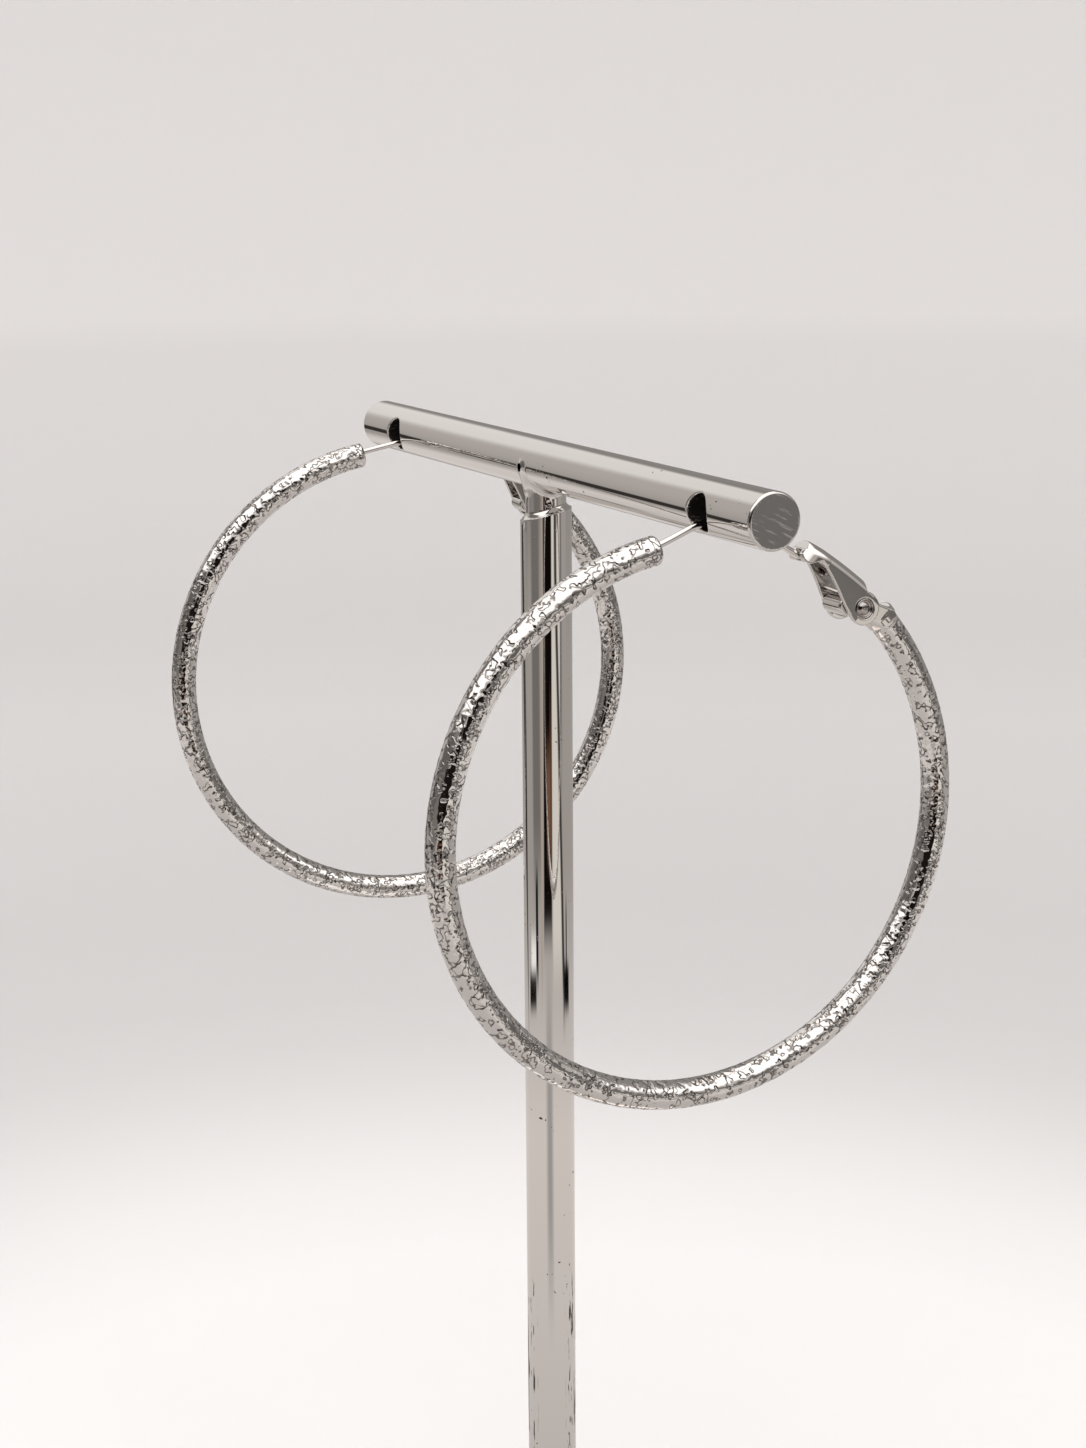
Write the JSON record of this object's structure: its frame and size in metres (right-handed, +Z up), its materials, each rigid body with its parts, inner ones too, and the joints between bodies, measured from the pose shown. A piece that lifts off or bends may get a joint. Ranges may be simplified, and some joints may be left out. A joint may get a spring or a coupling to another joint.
{
  "type": "pair of hoop earrings on a t-bar stand",
  "caption": "Textured silver hoop earrings with hinged lever clasps, hanging by their ear pins from the cross-holes of a chrome T-bar display stand.",
  "frame": {"origin": "on the surface that the stand stands on, under the middle of the bar", "axes": "+Z up along the post, X along the bar, Y across the bar in the hoops' planes; the open clasps are on the +Y side"},
  "size_m": [0.0958, 0.07, 0.1529],
  "materials": {
    "stand_chrome": "bright chrome with small pits and scratches",
    "hoop_silver": "bright silver plating over a dense stippled texture",
    "clasp_polished": "polished sheet metal"
  },
  "bodies": {
    "stand": {"stand_base": "stand_chrome", "stand_tee": "stand_chrome", "near_hoop": "hoop_silver", "near_rivet": "clasp_polished", "far_hoop": "hoop_silver", "far_rivet": "clasp_polished"},
    "near_clasp": {"near_lever": "clasp_polished"},
    "far_clasp": {"far_lever": "clasp_polished"}
  },
  "joints": [
    {"name": "near_clasp_hinge", "type": "hinge", "parent": "stand", "child": "near_clasp", "pos_m": [0.0376, 0.01565, 0.13892], "axis": [-0.9999, 0, -0.014], "range_deg": [0, 70]},
    {"name": "far_clasp_hinge", "type": "hinge", "parent": "stand", "child": "far_clasp", "pos_m": [-0.0358, 0.01555, 0.13992], "axis": [-0.9936, 0.1132, 0.0017], "range_deg": [0, 70]}
  ]
}
